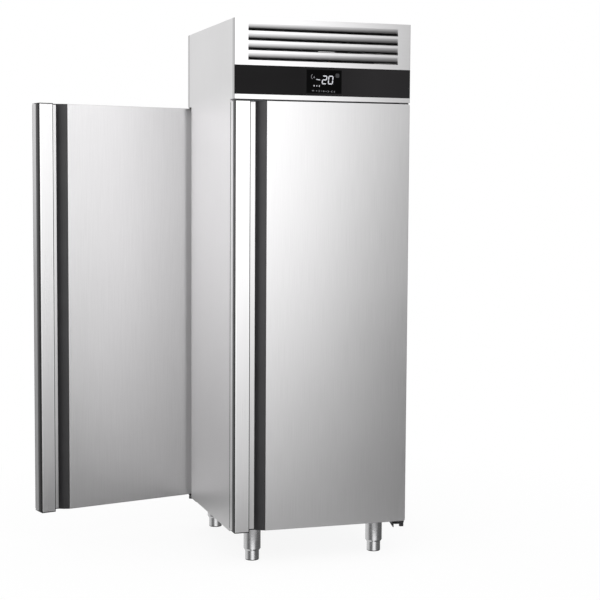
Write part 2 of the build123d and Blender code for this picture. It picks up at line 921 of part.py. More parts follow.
def door_grip_insert(plan):
    """The dark, crowned strip on the slanted wall of the grip, from the panel to the floor."""
    start = (grip_edge, door_thickness - grip_step + grip_insert)
    end = (grip_edge + grip_slant + grip_insert, grip_floor)
    length = ((end[0] - start[0]) ** 2 + (end[1] - start[1]) ** 2) ** 0.5
    crown = (
        (start[0] + end[0]) / 2 + grip_crown * (start[1] - end[1]) / length,
        (start[1] + end[1]) / 2 + grip_crown * (end[0] - start[0]) / length,
    )
    with BuildPart() as insert:
        with BuildSketch(plan.offset(door_z)):
            with BuildLine():
                ThreePointArc(start, crown, end)
                Polyline(
                    end,
                    (grip_edge + grip_slant, grip_floor),
                    (grip_edge, door_thickness - grip_step),
                    start,
                )
            make_face()
        extrude(amount=door_height)
    return insert.part


def door_bushes(plan):
    """The flanged bushes that turn on the hinge pins, at the bottom and the top."""
    foot = plan.origin + plan.x_dir * pivot_in + plan.y_dir * pivot_out
    radius = pin_diameter / 2 + bush_wall
    low_flange = door_bottom_gap - cam_height - free_clearance
    high_flange = door_top_gap - bracket_thickness - free_clearance
    top = door_z + door_height
    with BuildPart() as bushes:
        with Locations((foot.X, foot.Y, door_z + bush_length / 2)):
            Cylinder(radius, bush_length)
        with Locations((foot.X, foot.Y, door_z - low_flange / 2)):
            Cylinder(radius + flange_extra, low_flange)
        with Locations((foot.X, foot.Y, top - bush_length / 2)):
            Cylinder(radius, bush_length)
        with Locations((foot.X, foot.Y, top + high_flange / 2)):
            Cylinder(radius + flange_extra, high_flange)
        with Locations((foot.X, foot.Y, door_z + door_height / 2)):
            Cylinder(pin_diameter / 2 + pin_clearance, 2 * door_height, mode=Mode.SUBTRACT)
    return bushes.part


door_pieces = {
    "skin": door_skin,
    "liner": door_liner,
    "foam": door_foam,
    "gasket": door_gasket,
    "handle": door_handle,
    "grip_insert": door_grip_insert,
    "bushes": door_bushes,
}
door_plans = {"front": door_plan(1, 0), "rear": door_plan(-1, opened_angle)}
for end, plan in door_plans.items():
    for piece_name, make_piece in door_pieces.items():
        keep(make_piece(plan), f"{end}_door_{piece_name}")


def finned_coil(low, width, depth, height, fins, columns, rows):
    """Fins across X on a serpentine of tubes, from the coil's low corner."""
    x, y, z = low
    middle = (x + width / 2, y + depth / 2, z + height / 2)
    column_pitch = depth / columns
    row_pitch = height / rows
    with BuildPart() as coil:
        with Locations(middle):
            with GridLocations((width - fin_thickness) / (fins - 1), 1, fins, 1):
                Box(fin_thickness, depth, height)
        with BuildSketch(Plane.YZ.offset(x - coil_stub)):
            with Locations(middle[1:]):
                with GridLocations(column_pitch, row_pitch, columns, rows):
                    Circle(coil_tube / 2)
        extrude(amount=width + 2 * coil_stub)
        # Return bends join neighbouring rows and leave the pipe ends free on the far side
        for column in range(columns):
            bend_y = y + (column + 0.5) * column_pitch
            for row in range(rows - 1):
                far = row % 2 == 1
                bend_x = x + width + coil_stub if far else x - coil_stub
                bend_z = z + (row + 1) * row_pitch
                start_z = bend_z + (row_pitch / 2 if far else -row_pitch / 2)
                with BuildSketch(Plane.YZ.offset(bend_x)):
                    with Locations((bend_y, start_z)):
                        Circle(coil_tube / 2)
                revolve(axis=Axis((bend_x, bend_y, bend_z), (0, 1, 0)), revolution_arc=180)
    return coil.part


def fan_rotor(place, tip_radius, shaft_length):
    """Hub, twisted blades and shaft, turning about the Z of its plane."""
    hub = hub_diameter / 2
    blade_length = tip_radius + blade_clearance - hub
    with BuildPart() as rotor:
        with Locations(place):
            Cylinder(hub, hub_height)
            with PolarLocations(hub + blade_length / 2 - shaft_diameter / 2, blade_count):
                Box(blade_length, blade_chord, blade_thickness, rotation=(blade_pitch, 0, 0))
            Cylinder(tip_radius, 2 * blade_chord, mode=Mode.INTERSECT)
            Cylinder(
                shaft_diameter / 2,
                shaft_length + hub_height / 2,
                align=(Align.CENTER, Align.CENTER, Align.MIN),
            )
    return rotor.part


# Cooler, in an insulated housing over the two openings of the deck
housing_low = (-housing_width / 2, cooler_y - housing_depth / 2, deck_z)
housing_high = (housing_width / 2, cooler_y + housing_depth / 2, deck_z + housing_height)
roof_z = housing_high[2] - housing_wall
evaporator_low = (
    evaporator_x - evaporator_width / 2,
    cooler_y - evaporator_depth / 2,
    roof_z - evaporator_height,
)
suction_y = cooler_y - evaporator_depth / evaporator_columns
suction_z = roof_z - evaporator_height / evaporator_rows / 2
suction_x = evaporator_low[0] + evaporator_width + coil_stub
capillary_x = evaporator_low[0] + heater_inset / 2
capillary_z = roof_z - evaporator_height * 0.75
drain_z = deck_z + drain_height
pipe_hole = pipe_diameter / 2 + pipe_hole_fit
with BuildPart() as evaporator_housing:
    span_box(housing_low, housing_high)
    span_box(
        (housing_low[0] + housing_wall, housing_low[1] + housing_wall, deck_z),
        (housing_high[0] - housing_wall, housing_high[1] - housing_wall, roof_z),
        mode=Mode.SUBTRACT,
    )
    with Locations((housing_high[0] - housing_wall / 2, suction_y, suction_z)):
        Cylinder(pipe_hole, 2 * housing_wall, rotation=(0, 90, 0), mode=Mode.SUBTRACT)
    with Locations((capillary_x, housing_low[1] + housing_wall / 2, capillary_z)):
        hole = capillary_diameter / 2 + pipe_hole_fit
        Cylinder(hole, 2 * housing_wall, rotation=(90, 0, 0), mode=Mode.SUBTRACT)
    with Locations((housing_low[0] + housing_wall / 2, cooler_y, drain_z)):
        hole = drain_diameter / 2 + pipe_hole_fit
        Cylinder(hole, 2 * housing_wall, rotation=(0, 90, 0), mode=Mode.SUBTRACT)
keep(evaporator_housing.part, "evaporator_housing")

evaporator_coil = finned_coil(
    evaporator_low,
    evaporator_width,
    evaporator_depth,
    evaporator_height,
    evaporator_fins,
    evaporator_columns,
    evaporator_rows,
)
keep(evaporator_coil, "evaporator_coil")

# Defrost heater, a rod bent to and fro under the evaporator
with BuildPart() as defrost_heater:
    heater_z = evaporator_low[2] - heater_diameter / 2 - free_clearance
    heater_left = evaporator_low[0] + heater_inset
    heater_right = evaporator_low[0] + evaporator_width - heater_inset
    pass_gap = (evaporator_depth - 2 * heater_inset) / heater_passes
    heater_points = []
    for n in range(heater_passes + 1):
        pass_y = evaporator_low[1] + heater_inset + n * pass_gap
        ends = [(heater_left, pass_y), (heater_right, pass_y)]
        heater_points += ends if n % 2 == 0 else ends[::-1]
    with BuildLine(Plane.XY.offset(heater_z)) as heater_path:
        FilletPolyline(*heater_points, radius=pass_gap * 0.45)
    with BuildSketch(Plane(origin=heater_path.line @ 0, z_dir=heater_path.line % 0)):
        Circle(heater_diameter / 2)
    sweep(path=heater_path.line)
keep(defrost_heater.part, "defrost_heater")

# Fan that blows down into the duct, its motor hung from the housing's roof
fan_place = Plane(origin=(fan_x, cooler_y, deck_z + hub_height / 2), z_dir=(0, 0, 1))
with BuildPart() as evaporator_fan_motor:
    with Locations((fan_x, cooler_y, roof_z - motor_length / 2)):
        Cylinder(motor_diameter / 2, motor_length)
    fillet(evaporator_fan_motor.edges().group_by(Axis.Z)[0], motor_round)
    with Locations((fan_x, cooler_y, roof_z - motor_length)):
        Cylinder(shaft_diameter / 2 + shaft_fit, 2 * shaft_grip + 2, mode=Mode.SUBTRACT)
keep(evaporator_fan_motor.part, "evaporator_fan_motor")
shaft_length = roof_z - motor_length + shaft_grip - fan_place.origin.Z - hub_height / 2
evaporator_fan = fan_rotor(fan_place, fan_hole / 2 - sheet - blade_clearance, shaft_length)
keep(evaporator_fan, "evaporator_fan_blades")

# Condenser behind the front louvres, its fan and shroud behind it
condenser_low = (
    condenser_x - condenser_width / 2,
    condenser_y - condenser_depth / 2,
    deck_z,
)
condenser_coil = finned_coil(
    condenser_low,
    condenser_width,
    condenser_depth,
    condenser_height,
    condenser_fins,
    condenser_columns,
    condenser_rows,
)
keep(condenser_coil, "condenser_coil")

shroud_y = condenser_y + condenser_depth / 2
shroud_z = deck_z + condenser_height / 2
with BuildPart() as condenser_fan_shroud:
    span_box(
        (condenser_low[0], shroud_y, deck_z),
        (condenser_low[0] + condenser_width, shroud_y + shroud_plate, deck_z + condenser_height),
    )
    with Locations((condenser_x, shroud_y + shroud_depth / 2, shroud_z)):
        ring = condenser_fan_hole / 2
        Cylinder(ring + shroud_ring, shroud_depth, rotation=(90, 0, 0))
        Cylinder(ring, 2 * shroud_depth, rotation=(90, 0, 0), mode=Mode.SUBTRACT)
keep(condenser_fan_shroud.part, "condenser_fan_shroud")

rotor_y = shroud_y + shroud_plate + hub_height / 2 + motor_gap / 4
rotor_place = Plane(origin=(condenser_x, rotor_y, shroud_z), x_dir=(1, 0, 0), z_dir=(0, 1, 0))
motor_y = rotor_y + hub_height / 2 + motor_gap
with BuildPart() as condenser_fan_motor:
    with Locations((condenser_x, motor_y + motor_length / 2, shroud_z)):
        Cylinder(motor_diameter / 2, motor_length, rotation=(90, 0, 0))
    fillet(condenser_fan_motor.edges().filter_by(GeomType.CIRCLE), motor_round)
    span_box(
        (condenser_x - stand_width / 2, motor_y + motor_length / 2, deck_z),
        (condenser_x + stand_width / 2, motor_y + motor_length / 2 + stand_thickness, shroud_z),
    )
    span_box(
        (condenser_x - stand_width / 2, motor_y + stand_thickness, deck_z),
        (condenser_x + stand_width / 2, motor_y + motor_length, deck_z + stand_thickness),
    )
    with Locations((condenser_x, motor_y, shroud_z)):
        Cylinder(
            shaft_diameter / 2 + shaft_fit,
            2 * shaft_grip + 2,
            rotation=(90, 0, 0),
            mode=Mode.SUBTRACT,
        )
keep(condenser_fan_motor.part, "condenser_fan_motor")
condenser_fan = fan_rotor(
    rotor_place,
    condenser_fan_hole / 2 - blade_clearance,
    motor_gap + shaft_grip,
)
keep(condenser_fan, "condenser_fan_blades")

# Hermetic compressor on four rubber grommets
plate_z = deck_z + grommet_height
can_z = plate_z + base_plate
grommet_x = base_width / 2 - grommet_inset
grommet_y = base_depth / 2 - grommet_inset
with BuildPart() as compressor:
    with Locations((compressor_x, compressor_y, can_z + compressor_body / 2)):
        Cylinder(compressor_diameter / 2, compressor_body)
    rims = compressor.edges().filter_by(GeomType.CIRCLE).sort_by(Axis.Z)
    fillet(rims[-1], compressor_dome)
    fillet(rims[0], compressor_base)
    with Locations((compressor_x, compressor_y, plate_z + base_plate / 2)):
        Box(base_width, base_depth, base_plate)
        with GridLocations(2 * grommet_x, 2 * grommet_y, 2, 2):
            Cylinder(grommet_bore / 2, 4 * base_plate, mode=Mode.SUBTRACT)
    terminal_y = compressor_y + compressor_diameter / 2
    with Locations((compressor_x, terminal_y, can_z + compressor_body / 2)):
        Box(terminal_width, 2 * terminal_depth, terminal_height)
keep(compressor.part, "compressor")

with BuildPart() as compressor_grommets:
    with Locations((compressor_x, compressor_y, deck_z + grommet_height / 2)):
        with GridLocations(2 * grommet_x, 2 * grommet_y, 2, 2):
            Cylinder(grommet_diameter / 2, grommet_height)
            Cylinder(grommet_bore / 2, 2 * grommet_height, mode=Mode.SUBTRACT)
keep(compressor_grommets.part, "compressor_grommets")


def tube_along(points, diameter, bend):
    """A tube in the current part, through points with rounded bends."""
    with BuildLine() as path:
        if len(points) > 2:
            FilletPolyline(*points, radius=bend)
        else:
            Line(*points)
    with BuildSketch(Plane(origin=path.line @ 0, z_dir=path.line % 0)) as section:
        Circle(diameter / 2)
        Circle(diameter / 2 - pipe_wall, mode=Mode.SUBTRACT)
    sweep(section.sketch, path=path.line)


# Copper pipes: discharge, liquid line and suction
compressor_side = compressor_diameter / 2
pipe_z = can_z + compressor_body / 2
row_rise = condenser_height / condenser_rows
column_step = condenser_depth / condenser_columns
inlet_x = condenser_low[0] + condenser_width + coil_stub
inlet_y = condenser_y - column_step / 2
inlet_z = deck_z + condenser_height - row_rise / 2
outlet_y = condenser_y + column_step / 2
outlet_z = deck_z + row_rise / 2
bypass_x = inlet_x + 2.4 * pipe_bend
drier_y = compressor_y + compressor_side
drier_x = capillary_x
with BuildPart() as refrigerant_pipes:
    tube_along(
        [
            (compressor_x - compressor_side, compressor_y, pipe_z),
            (bypass_x, compressor_y, pipe_z),
            (bypass_x, inlet_y, pipe_z),
            (bypass_x, inlet_y, inlet_z),
            (inlet_x, inlet_y, inlet_z),
        ],
        pipe_diameter,
        pipe_bend,
    )
    tube_along(
        [
            (inlet_x, outlet_y, outlet_z),
            (drier_x, outlet_y, outlet_z),
            (drier_x, drier_y, outlet_z),
        ],
        pipe_diameter,
        pipe_bend / 2,
    )
    tube_along(
        [
            (suction_x, suction_y, suction_z),
            (compressor_x + compressor_side + 2.4 * pipe_bend, suction_y, suction_z),
            (compressor_x + compressor_side + 2.4 * pipe_bend, compressor_y, suction_z),
            (compressor_x + compressor_side, compressor_y, suction_z),
        ],
        pipe_diameter,
        pipe_bend,
    )
keep(refrigerant_pipes.part, "refrigerant_pipes")

# Filter drier with the capillary that leads into the evaporator
with BuildPart() as filter_drier:
    with Locations((drier_x, drier_y + drier_length / 2, outlet_z)):
        Cylinder(drier_diameter / 2, drier_length, rotation=(90, 0, 0))
    chamfer(filter_drier.edges().filter_by(GeomType.CIRCLE), drier_taper)
    capillary_start = drier_y + drier_length
    with BuildLine() as capillary_path:
        FilletPolyline(
            (drier_x, capillary_start, outlet_z),
            (drier_x, capillary_start + pipe_bend, outlet_z),
            (drier_x, capillary_start + pipe_bend, capillary_z),
            (drier_x, evaporator_low[1], capillary_z),
            radius=pipe_bend / 3,
        )
    with BuildSketch(Plane(origin=capillary_path.line @ 0, z_dir=capillary_path.line % 0)):
        Circle(capillary_diameter / 2)
    sweep(path=capillary_path.line)
keep(filter_drier.part, "filter_drier")

# Drain tube out of the housing, and the tray where the water evaporates
with BuildPart() as drain_tube:
    tube_along(
        [
            (housing_low[0] + housing_wall, cooler_y, drain_z),
            (tray_x, cooler_y, drain_z),
            (tray_x, cooler_y, deck_z + tray_wall + free_clearance),
        ],
        drain_diameter,
        drain_diameter,
    )
keep(drain_tube.part, "drain_tube")

with BuildPart() as evaporation_tray:
    span_box(
        (tray_x - tray_width / 2, cooler_y - tray_depth / 2, deck_z),
        (tray_x + tray_width / 2, cooler_y + tray_depth / 2, deck_z + tray_height),
    )
    offset(amount=-tray_wall, openings=evaporation_tray.faces().sort_by(Axis.Z)[-1])
keep(evaporation_tray.part, "evaporation_tray")
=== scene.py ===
# %% [markdown]
# # Dressing a pass-through upright freezer
# This lesson takes the finished solids of a steel freezer and gives them their looks.
# The solids already have the right shapes and places, so the work here is mostly finish:
# brushed steel sheets, a glossy black panel, charcoal grips, polished legs. A few pieces too
# small for the solids, such as the lit digits, are modelled here.

# %% Load the freezer
import math

import bmesh
import bpy
from mathutils import Matrix, Vector


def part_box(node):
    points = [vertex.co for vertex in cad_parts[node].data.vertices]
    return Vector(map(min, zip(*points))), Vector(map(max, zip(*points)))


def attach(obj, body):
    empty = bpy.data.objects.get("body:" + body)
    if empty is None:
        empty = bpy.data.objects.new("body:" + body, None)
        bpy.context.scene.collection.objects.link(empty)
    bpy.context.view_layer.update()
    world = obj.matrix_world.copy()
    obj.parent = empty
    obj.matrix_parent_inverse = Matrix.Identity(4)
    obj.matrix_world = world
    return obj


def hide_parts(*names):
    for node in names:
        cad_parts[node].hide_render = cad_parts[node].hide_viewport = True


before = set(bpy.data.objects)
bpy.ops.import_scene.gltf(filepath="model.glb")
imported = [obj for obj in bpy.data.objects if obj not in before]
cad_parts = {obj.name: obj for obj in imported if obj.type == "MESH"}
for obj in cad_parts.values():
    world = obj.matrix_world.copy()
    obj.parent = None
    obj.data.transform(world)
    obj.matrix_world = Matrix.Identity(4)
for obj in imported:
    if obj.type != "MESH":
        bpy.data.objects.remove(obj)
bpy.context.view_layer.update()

# %% [markdown]
# ## The camera
# The photograph was taken from a little left of the front, about six metres away, with the
# lens a hand's breadth above a standing person's chest. Working from the corners of the
# cabinet gives one place, one direction and one focal length that explain them all. The
# small shift moves the picture sideways in the way that cropping a larger one does.

# %% Camera
eye = Vector((-1.71556, -5.56961, 1.42221))
looking = Vector((0.317135, 0.945024, -0.079715))
rightward = Vector((0.94821, -0.31755, 0.007742))
upward = rightward.cross(looking)

lens = bpy.data.cameras.new("studio_camera")
lens.sensor_width = 36
lens.lens = 88.56
lens.shift_x = -0.05
camera = bpy.data.objects.new("studio_camera", lens)
view_turn = Matrix((rightward, upward, -looking)).transposed().to_4x4()
camera.matrix_world = Matrix.Translation(eye) @ view_turn
bpy.context.scene.collection.objects.link(camera)
bpy.context.scene.camera = camera
bpy.context.scene.view_settings.view_transform = "Standard"
print("camera height:", round(eye.z, 2), "m, focal length:", lens.lens, "mm")

# %% [markdown]
# ## Building finishes
# Every finish below is a network of nodes that ends in one shader. Small helpers keep the
# networks short. They make a blank finish whose plain numbers sit on the shader itself, add
# a node and fill or wire its sockets in one go, and blend a new value into what is there.

# %% Helpers for finishes
def blank_finish(name, colour, roughness, metallic=0.0):
    """A finish with one shader, its plain values on the shader's own sockets."""
    finish = bpy.data.materials.new(name)
    finish.use_nodes = True
    shader = finish.node_tree.nodes["Principled BSDF"]
    shader.inputs["Base Color"].default_value = (*colour, 1)
    shader.inputs["Roughness"].default_value = roughness
    shader.inputs["Metallic"].default_value = metallic
    return finish


def wire(tree, kind, sockets=None, **settings):
    """Add a node to a tree, with settings and with values or wires on its sockets."""
    node = tree.nodes.new(kind)
    for name, value in settings.items():
        setattr(node, name, value)
    for name, value in (sockets or {}).items():
        if isinstance(value, bpy.types.NodeSocket):
            tree.links.new(value, node.inputs[name])
        else:
            node.inputs[name].default_value = value
    return node


def shade(finish, socket, value):
    """Wire a node's output to a socket of the finish's shader."""
    shader = finish.node_tree.nodes["Principled BSDF"]
    finish.node_tree.links.new(value, shader.inputs[socket])


def spread(tree, value, low, high, start=0.3, end=0.7):
    """Stretch a value between start and end to run from low to high."""
    ranges = {"Value": value, "From Min": start, "From Max": end, "To Min": low, "To Max": high}
    return wire(tree, "ShaderNodeMapRange", ranges).outputs["Result"]


def tint(tree, factor, dark, light):
    """A colour that runs from dark to light with a factor; each is a colour or a wire."""
    ends = {"Factor": factor}
    for socket, colour in ((6, dark), (7, light)):
        ends[socket] = (*colour, 1) if isinstance(colour, tuple) else colour
    return wire(tree, "ShaderNodeMix", ends, data_type="RGBA").outputs[2]


def maths(tree, operation, first, second=0.0, third=None):
    """One step of arithmetic on values or wires."""
    values = {0: first, 1: second}
    if third is not None:
        values[2] = third
    return wire(tree, "ShaderNodeMath", values, operation=operation).outputs[0]


def blend_in(finish, socket, factor, value):
    """Turn what a shader's socket has now into another value or colour by a factor."""
    tree = finish.node_tree
    target = tree.nodes["Principled BSDF"].inputs[socket]
    before = target.links[0].from_socket
    if socket == "Base Color":
        mixed = tint(tree, factor, before, value)
    else:
        mixed = wire(tree, "ShaderNodeMix", {"Factor": factor, 2: before, 3: value}).outputs[0]
    tree.links.new(mixed, target)


def own_axes(tree):
    """The three coordinates of a piece's own points, and its own surface direction."""
    own = wire(tree, "ShaderNodeTexCoord").outputs
    x, y, z = wire(tree, "ShaderNodeSeparateXYZ", {0: own["Object"]}).outputs
    return x, y, z, own["Normal"]


def stretched_noise(tree, stretch, detail=3.0, scale=1.0):
    """Noise on the piece's own coordinates, drawn out by a stretch along X, Y and Z."""
    place = wire(tree, "ShaderNodeTexCoord").outputs["Object"]
    drawn = wire(tree, "ShaderNodeMapping", {"Vector": place, "Scale": stretch}).outputs["Vector"]
    noise = wire(tree, "ShaderNodeTexNoise", {"Vector": drawn, "Scale": scale, "Detail": detail})
    return noise.outputs["Fac"]


def dress(finish, *names):
    """Give a finish to solids by their names."""
    for name in names:
        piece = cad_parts[name]
        if not piece.material_slots:
            piece.data.materials.append(finish)
        for slot in piece.material_slots:
            slot.material = finish
    print(finish.name, "->", ", ".join(names))


# %% [markdown]
# ## Brushed steel
# The sheets of the cabinet are stainless steel that a belt has brushed one way. Close up,
# the brushing is thousands of fine scratches: they barely change the colour, but they make
# the sheet a little rougher in one line than in the next. Stretching a noise hard along the
# brushing direction draws those lines, and a second, slow noise adds the faint clouds of a
# sheet that has been wiped by hand.

# %% Brushed steel
def brushed_steel(name, colour, roughness, stretch):
    """Steel with fine scratches along the axis where the stretch is small."""
    finish = blank_finish(name, colour, roughness, metallic=1.0)
    tree = finish.node_tree
    scratches = stretched_noise(tree, stretch)
    clouds = stretched_noise(tree, (3, 3, 2), detail=2.0)
    light = tuple(min(1, c * 1.03) for c in colour)
    dark = tuple(c * 0.95 for c in colour)
    shade(finish, "Base Color", tint(tree, spread(tree, scratches, 0, 1), dark, light))
    fine = spread(tree, scratches, -0.035, 0.035)
    slow = spread(tree, clouds, roughness - 0.02, roughness + 0.02)
    shade(finish, "Roughness", maths(tree, "ADD", fine, slow))
    relief = {"Height": scratches, "Strength": 0.12, "Distance": 0.0003}
    ridges = wire(tree, "ShaderNodeBump", relief)
    shade(finish, "Normal", ridges.outputs["Normal"])
    return finish


sheet_steel = (0.74, 0.735, 0.74)
# Near black for painted shade in recesses: the louvre blades and the ends of the door grooves.
painted_recess_shade = (0.02, 0.02, 0.021)
upright_grain = brushed_steel("upright_brushed_steel", sheet_steel, 0.36, (900, 900, 7))
level_grain = brushed_steel("level_brushed_steel", sheet_steel, 0.34, (7, 900, 900))
dress(upright_grain, "left_side_panel", "right_side_panel")
dress(level_grain, "top_cover")

# %% [markdown]
# ## Louvred fascias
# The fascias are brushed level. Their louvres sink inwards towards a slit, and the deeper a
# blade goes, the less of the room it sees, so painted shade darkens the finish with depth
# there. Painted shade also darkens it underneath, over the gap above the door, and a little
# on the folded sides.

# %% Fascia steel
fascia_face = 0.37
fascia_foot = 1.725
louvre_half_width = 0.2905
louvre_middle = 1.9235
louvre_half_height = 0.0685
slit_start, slit_end = 0.0003, 0.0118
painted_side_shade = 0.66


def fascia_steel(name, inward):
    """Level-brushed steel with painted shade in its louvres, underneath and on its sides; inward is
    1 in front and -1 behind.
    """
    finish = brushed_steel(name, sheet_steel, 0.34, (7, 900, 900))
    tree = finish.node_tree
    x, y, z, facing = own_axes(tree)
    depth = maths(tree, "MULTIPLY_ADD", y, inward, fascia_face)
    within = maths(tree, "COMPARE", x, 0.0, louvre_half_width)
    level = maths(tree, "COMPARE", z, louvre_middle, louvre_half_height)
    louvre = maths(tree, "MULTIPLY", within, level)
    # Painted shade: the louvre blades darken with depth towards their slit.
    deeper = spread(tree, depth, 0.0, 0.98, start=slit_start, end=slit_end)
    painted_louvre_shade = maths(tree, "MULTIPLY", louvre, maths(tree, "POWER", deeper, 0.65))
    blend_in(finish, "Base Color", painted_louvre_shade, painted_recess_shade)
    nx, _, nz = wire(tree, "ShaderNodeSeparateXYZ", {0: facing}).outputs
    # Painted shade: faces turned to the side are darker than the front.
    sides = spread(tree, maths(tree, "ABSOLUTE", nx), 0.0, 1.0, start=0.6, end=0.9)
    blend_in(finish, "Base Color", sides, tuple(c * painted_side_shade for c in sheet_steel))
    # Painted shade: faces looking down below the fascia's foot, over the gap above the door, are
    # near black.
    facing_down = maths(tree, "LESS_THAN", nz, -0.7)
    painted_underside_shade = maths(tree, "MULTIPLY", facing_down, maths(tree, "LESS_THAN", z, fascia_foot))
    blend_in(finish, "Base Color", painted_underside_shade, (0.03, 0.03, 0.031))
    return finish


dress(fascia_steel("front_fascia_steel", 1.0), "front_fascia")
dress(fascia_steel("rear_fascia_steel", -1.0), "rear_fascia")

# %% [markdown]
# ## Door sheets
# A door's sheet is brushed upright. Its finger groove is darkened at its top and bottom
# ends with painted shade. To find the groove on a door that may stand open, the finish
# measures along the door from its hinge edge, and outwards from its inner face.

# %% Door steel
door_places = {
    "front": ((0.34, -0.318, 0), (-1, 0, 0), (0, -1, 0)),
    "rear": ((-0.330176, 0.395294, 0), (-0.965926, -0.258819, 0), (0.258819, -0.965926, 0)),
}
door_middle = 0.921
door_half_height = 0.794
cap_margin = 0.0035
groove_edge = 0.56
groove_floor, groove_mouth = 0.02, 0.0505


def door_measures(tree, which):
    """How far a point is along a door, outwards from it and up, and how it faces along it."""
    corner, along, out = door_places[which]
    own = wire(tree, "ShaderNodeTexCoord").outputs

    def vector_step(operation, first, second):
        ends = {0: first, 1: second}
        return wire(tree, "ShaderNodeVectorMath", ends, operation=operation).outputs

    offset = vector_step("SUBTRACT", own["Object"], corner)["Vector"]
    reach = vector_step("DOT_PRODUCT", offset, along)["Value"]
    stand = vector_step("DOT_PRODUCT", offset, out)["Value"]
    facing = vector_step("DOT_PRODUCT", own["Normal"], along)["Value"]
    up = wire(tree, "ShaderNodeSeparateXYZ", {0: offset}).outputs["Z"]
    return reach, stand, up, facing


def near_ends(tree, up):
    """1 at the caps of the door's top and bottom, and 0 between."""
    away = maths(tree, "ABSOLUTE", maths(tree, "SUBTRACT", up, door_middle))
    return maths(tree, "GREATER_THAN", away, door_half_height - cap_margin)


def door_steel(which):
    """Upright-brushed steel with painted shade at the ends of the groove."""
    finish = brushed_steel(which + "_door_steel", sheet_steel, 0.36, (900, 900, 7))
    tree = finish.node_tree
    reach, stand, up, _ = door_measures(tree, which)
    past_edge = maths(tree, "GREATER_THAN", reach, groove_edge)
    groove = maths(tree, "MULTIPLY", past_edge, maths(tree, "LESS_THAN", stand, groove_mouth))
    inside = maths(tree, "MULTIPLY", groove, maths(tree, "GREATER_THAN", stand, groove_floor))
    # Painted shade at the top and bottom ends of the finger groove.
    painted_cap_shade = maths(tree, "MULTIPLY", inside, near_ends(tree, up))
    blend_in(finish, "Base Color", painted_cap_shade, painted_recess_shade)
    return finish


dress(door_steel("front"), "front_door_skin")
dress(door_steel("rear"), "rear_door_skin")

# %% [markdown]
# ## Handles
# Each handle is a full-height folded profile. Its face is finer than the doors, with a
# painted highlight along both edges. Round the face runs dark trim: down the two rounded
# edges, across the end caps, and in two tones down the outer side. The trim is partly a dark
# finish and partly painted shade: its dark lines at the rounded edges, the inner edge and the
# ends stand in for shadow. It is a finish and not a shape, so it is told apart by where a
# point is on the door and which way it faces.

# %% Handle steel with dark trim
handle_middle = 0.6515
handle_half_face = 0.0225
handle_inner_edge = 0.6266
trim_step = (0.0475, 0.0485)


def handle_steel(which):
    """Fine steel with painted highlights on its edges, and a dark border round its face that is
    partly a dark finish and partly painted shade.
    """
    finish = brushed_steel(which + "_handle_steel", (0.79, 0.785, 0.79), 0.31, (1200, 1200, 6))
    tree = finish.node_tree
    reach, stand, up, facing = door_measures(tree, which)
    from_middle = maths(tree, "ABSOLUTE", maths(tree, "SUBTRACT", reach, handle_middle))
    # Painted highlight: the bands either side of the face's middle are lighter.
    painted_edge_highlight = maths(tree, "GREATER_THAN", from_middle, handle_half_face)
    blend_in(finish, "Base Color", painted_edge_highlight, (0.93, 0.925, 0.93))
    # Dark trim, partly a dark finish and partly painted shade: its lines at the rounded edges, the
    # inner edge and the ends stand in for shadow.
    turned = maths(tree, "GREATER_THAN", maths(tree, "ABSOLUTE", facing), 0.35)
    inner = maths(tree, "LESS_THAN", reach, handle_inner_edge)
    edges = maths(tree, "MAXIMUM", turned, inner)
    trim_and_painted_shade = maths(tree, "MAXIMUM", edges, near_ends(tree, up))
    outwards = spread(tree, stand, 0.0, 1.0, start=trim_step[0], end=trim_step[1])
    trim_and_shadow_tones = tint(tree, outwards, (0.14, 0.138, 0.14), (0.035, 0.034, 0.035))
    blend_in(finish, "Base Color", trim_and_painted_shade, trim_and_shadow_tones)
    blend_in(finish, "Roughness", trim_and_painted_shade, 0.5)
    return finish


dress(handle_steel("front"), "front_door_handle")
dress(handle_steel("rear"), "rear_door_handle")

# %% [markdown]
# ## Grips
# The slanted strips inside the finger grooves are moulded in charcoal plastic with a fine
# eggshell texture, which small, shallow noise gives.

# %% Grip plastic
def moulded_plastic(name, colour, roughness, texture=420, depth=0.15):
    """Plastic with the fine eggshell texture of its mould."""
    finish = blank_finish(name, colour, roughness)
    tree = finish.node_tree
    eggshell = stretched_noise(tree, (texture,) * 3, detail=2.0)
    clouds = stretched_noise(tree, (9, 9, 9), detail=2.0)
    light = tuple(min(1, c * 1.12) for c in colour)
    dark = tuple(c * 0.88 for c in colour)
    shade(finish, "Base Color", tint(tree, spread(tree, clouds, 0, 1), dark, light))
    shade(finish, "Roughness", spread(tree, eggshell, roughness - 0.06, roughness + 0.06))
    bump = wire(tree, "ShaderNodeBump", {"Height": eggshell, "Strength": depth, "Distance": 0.0003})
    shade(finish, "Normal", bump.outputs["Normal"])
    return finish


grip_plastic = moulded_plastic("grip_plastic", (0.028, 0.027, 0.029), 0.42)
dress(grip_plastic, "front_door_grip_insert", "rear_door_grip_insert")

# %% [markdown]
# ## Black panel
# The control panel is glossy black plastic, with a display lens let in flush. A very
# slight waviness in its gloss keeps it from looking like a hole in the picture. Its right
# part is a little paler, a painted reflection.

